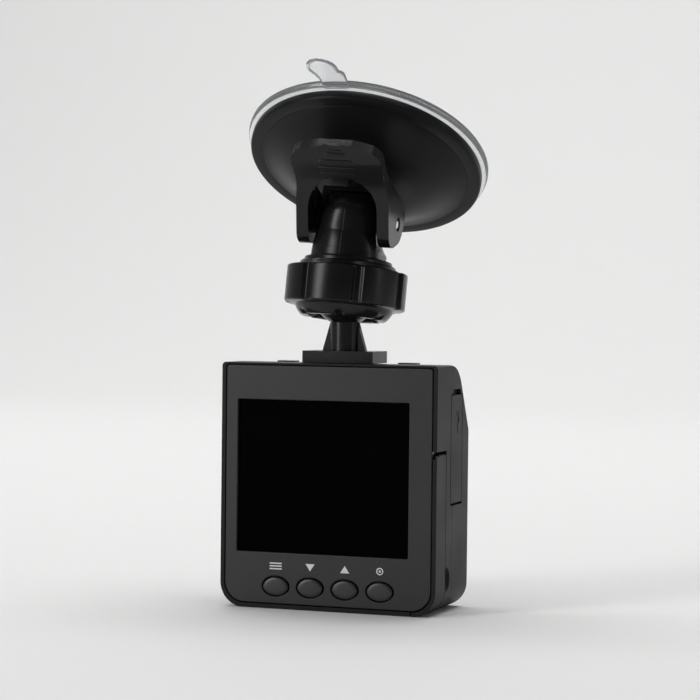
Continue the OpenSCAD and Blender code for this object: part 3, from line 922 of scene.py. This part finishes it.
# The thumb's side of the plate as (z, y), and the whole side outline as (y, z).
thumb_face = [(8, -9.4), (9.4, -9.6), (10.8, -10.1), (12.2, -10.75), (13.7, -11.6), (15.2, -12.6),
              (16.8, -13.7), (18.2, -14.7), (19.6, -15.6), (21.5, -16.3), (23.6, -16.9)]
lever_side = [
    (-9.4, -1.5), (-9.1, -2.6), (-8.5, -3.5), (-7.6, -4.3), (-6.5, -4.85), (-5.4, -5.1), (-4.5, -5.2),
    (0, -5.2), (1.7, -4.75), (3.2, -3.9), (4.5, -2.9), (5.6, -1.6), (6.6, -0.3), (7.05, 0.8),
    (7.05, 1.9), (6.6, 3), (5.7, 4.1), (4.5, 5.2), (1.6, 7.4), (-1.4, 9.6), (-5.2, 12.6), (-8.7, 15.6),
    (-9.7, 16.7), (-10.6, 18), (-11.9, 19.7), (-13.2, 21.3), (-14.1, 23.1), (-14.9, 24.9)]
lever_side += [(y, z) for z, y in reversed(thumb_face)]
half_front = [(12.5, -8), (12.5, 7), (12.35, 9), (12.15, 10.3), (12, 11.5), (11.88, 12.7), (11.85, 13.7),
              (11.9, 16), (12.05, 18.5), (12.2, 20.2), (12.25, 28)]

# An outline given as (x, z), and the prism towards the front.
front_plane = Matrix(((1, 0, 0, 0), (0, 0, -1, 0), (0, 1, 0, 0), (0, 0, 0, 1)))
side_place = lever_frame @ side_plane
front_place = lever_frame @ front_plane
lever = prism("lever_shape", lever_side, side_place, -14, 14)
front_outline = half_front + [(-x, z) for x, z in reversed(half_front)]
combine(lever, prism("front_block", front_outline, front_place, -14, 20), "INTERSECT")

# The end of the plate: a shallow arc with two round corners.
end_place = lever_frame @ Matrix.Translation(Vector((0, -16, 22.8)) * MM) \
    @ Matrix.Rotation(radians(40), 4, "X") @ front_plane
end_half = 12.3
end_radius = 30
end_rise = 1.2
end_corner = 2.7
end_arc = []
for i in range(-24, 25):
    x = end_half * i / 24
    past = max(0, abs(x) - (end_half - end_corner))
    end_arc.append((x, end_rise - end_radius + sqrt(end_radius ** 2 - x ** 2)
                    - end_corner + sqrt(max(0, end_corner ** 2 - past ** 2))))
end_outline = [(-end_half, 16)] + end_arc + [(end_half, 16)]
combine(lever, prism("end_block", end_outline, end_place, -12, 12), "DIFFERENCE")

# The arch between the arms, the room for the neck behind it, and the pin's hole.
arm_gap = 9.3
arch_rise = 5.1
arch_outline = [(arm_gap, -9), (arm_gap, 5)]
arch_outline += [(arm_gap * cos(radians(a)), arch_rise + arm_gap * sin(radians(a)))
                 for a in range(0, 181, 6)]
arch_outline += [(-arm_gap, 5), (-arm_gap, -9)]
combine(lever, prism("arch_block", arch_outline, front_place, 4, 20), "DIFFERENCE")
room_outline = [(-7.2, -9), (-7.2, 8.6), (-8.4, 12), (-11.3, 16.2), (-9.6, 18.5), (14, 18.5), (14, -9)]
combine(lever, prism("room_block", room_outline, side_place, -arm_gap, arm_gap), "DIFFERENCE")
hole_radius = 1.9
pin_hole = [(hole_radius * cos(radians(a)), hole_radius * sin(radians(a))) for a in range(0, 360, 15)]
combine(lever, prism("hole_block", pin_hole, side_place, -15, 15), "DIFFERENCE")
ease_corners(lever, 0.35 * MM, 40, 3)
finish(lever, nylon)
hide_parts("lever")
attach(lever, "lever_body")


def ridge(name, z, half_length, thickness):
    """Low rounded ridge across the thumb plate."""
    y = between(z, thumb_face)
    along = Vector((0, between(z + 0.5, thumb_face) - between(z - 0.5, thumb_face), 1)).normalized()
    out = Vector((0, -along.z, along.y))
    straight = 0.85
    rings = []
    for u in (-1, -0.98, -0.93, -straight, straight, 0.93, 0.98, 1):
        size = thickness * sqrt(max(0.02, 1 - max(0, (abs(u) - straight) / 0.15) ** 2))
        rings.append([Vector((u * half_length, y, z)) + along * size * sin(radians(a))
                      + out * 0.9 * size * cos(radians(a)) for a in range(0, 360, 24)])
    return placed_skin(name, rings, lever_frame, smooth=60)


for count, (z, half_length, thickness) in enumerate(
        ((22.3, 1.9, 0.22), (21.3, 2.8, 0.36), (19.3, 4.6, 0.4), (17.35, 5.0, 0.4), (15.6, 4.6, 0.25))):
    bar = finish(ridge("lever_ridge_%d" % (count + 1), z, half_length, thickness), nylon)
    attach(bar, "lever_body")


# ---------------------------------------------------------------- cup shell
# Shallow nylon dome with a flat rim that presses the edge of the soft pad on
# the glass. The lever's cams bear on its middle.

cup_frame = local_frame(pin_point, [-a for a in joint_of["cup_release"]["axis"]],
                        joint_of["lever_swing"]["axis"])
cup_steps = 192
rim_rise = 19.8
shell_profile = [
    (3.55, 11.2), (13.2, 11.2), (14.4, 11.28), (16.5, 11.8), (18.5, 12.6), (20.5, 13.6), (22.5, 14.75),
    (24.3, 15.75), (25.8, 16.45), (26.9, 16.85), (27.5, 17.0), (27.75, 17.05), (27.85, 17.2),
    (28.05, 17.22), (28.3, 17.2), (30.6, 17.2), (31.0, 17.3), (31.22, 17.55), (31.3, 17.9),
    (31.3, 19.4), (31.15, 19.7), (30.8, rim_rise), (28.6, rim_rise), (25, 18.8), (21.5, 16.8),
    (18, 14.7), (14.5, 13.05), (3.55, 13)]
shell_nylon = plastic("shell_nylon", (0.009, 0.009, 0.0092), 0.34, grain=2600, strength=0.12, shine=0.13)
shell = finish(placed_skin("cup_shell_dome", [round_ring(r, z, cup_steps) for r, z in shell_profile],
                           cup_frame, smooth=30, ring=True), shell_nylon)
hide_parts("cup_shell")
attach(shell, "cup")


# ---------------------------------------------------------------- suction pad
# Clear soft PVC disc with a thick rounded edge, a socket on the post, and a
# tab with a bead round it that lifts the edge off the glass.

soft_clear = clear("clear_pvc", (0.93, 0.945, 0.96), 0.09, 180, passing=0.93)
pad_low = rim_rise + 0.3
edge_radius = 32.6
pad_profile = [
    (0.3, 18.9), (3.45, 18.9), (3.45, 14.5), (5.3, 14.5), (5.6, 14.8), (5.6, 18.7), (6.0, 19.1),
    (8, 19.15), (14, 19.45), (20, 19.75), (26, pad_low), (31.4, pad_low), (32.0, pad_low + 0.1),
    (32.35, pad_low + 0.35), (32.45, pad_low + 0.7), (32.3, pad_low + 0.95), (32.35, pad_low + 1.05),
    (edge_radius, pad_low + 1.3), (edge_radius, pad_low + 1.75), (edge_radius - 0.3, pad_low + 1.98),
    (edge_radius - 0.8, pad_low + 2.0), (26, pad_low + 2.0), (14, pad_low + 1.8), (0.3, pad_low + 1.6)]
pad = finish(placed_skin("suction_pad_disc", [round_ring(r, z, cup_steps) for r, z in pad_profile],
                         cup_frame, smooth=40), soft_clear)
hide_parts("suction_pad")
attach(pad, "cup")

# The tab's frame has Y outward from the pad. The outline starts inside the pad's edge.
tab_turn = 266
tab_frame = cup_frame @ Matrix.Rotation(radians(tab_turn - 90), 4, "Z")
tab_outline = [
    (-3.5, -1.6), (-3.5, 1.2), (-3.4, 3.2), (-3.2, 4.1), (-2.7, 4.55), (-2.15, 4.9), (-2, 5.7),
    (-1.9, 6.7), (-1.4, 7.8), (-0.3, 8.8), (1.2, 9.45), (2.6, 9.6), (4, 9.15), (4.9, 8.2), (5.3, 7),
    (5.2, 5.9), (4.7, 4.9), (4.1, 3.9), (3.6, 2.2), (3.3, 0.4), (3.2, -1.6)]
tab = prism("pad_tab", [(u, edge_radius + v) for u, v in tab_outline], tab_frame,
            pad_low + 0.45, pad_low + 1.15)
finish(tab, soft_clear)
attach(tab, "cup")


def bead(name, path, radius, place):
    """Round bead along an open path of points in millimetres, drawn out to a point at its ends."""
    rings = []
    for i, point in enumerate(path):
        run = Vector(path[min(i + 1, len(path) - 1)]) - Vector(path[max(i - 1, 0)])
        side = run.normalized().cross(Vector((0, 0, 1))).normalized()
        size = radius * min(1, 0.35 + 0.4 * min(i, len(path) - 1 - i))
        rings.append([Vector(point) + (side * cos(radians(a)) + Vector((0, 0, sin(radians(a))))) * size
                      for a in range(0, 360, 30)])
    return placed_skin(name, rings, place, smooth=60)


bead_path = [(u, edge_radius + v, pad_low + 0.8) for u, v in tab_outline[1:-1]]
tab_bead = finish(bead("pad_tab_bead", bead_path, 0.5, tab_frame), soft_clear)
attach(tab_bead, "cup")
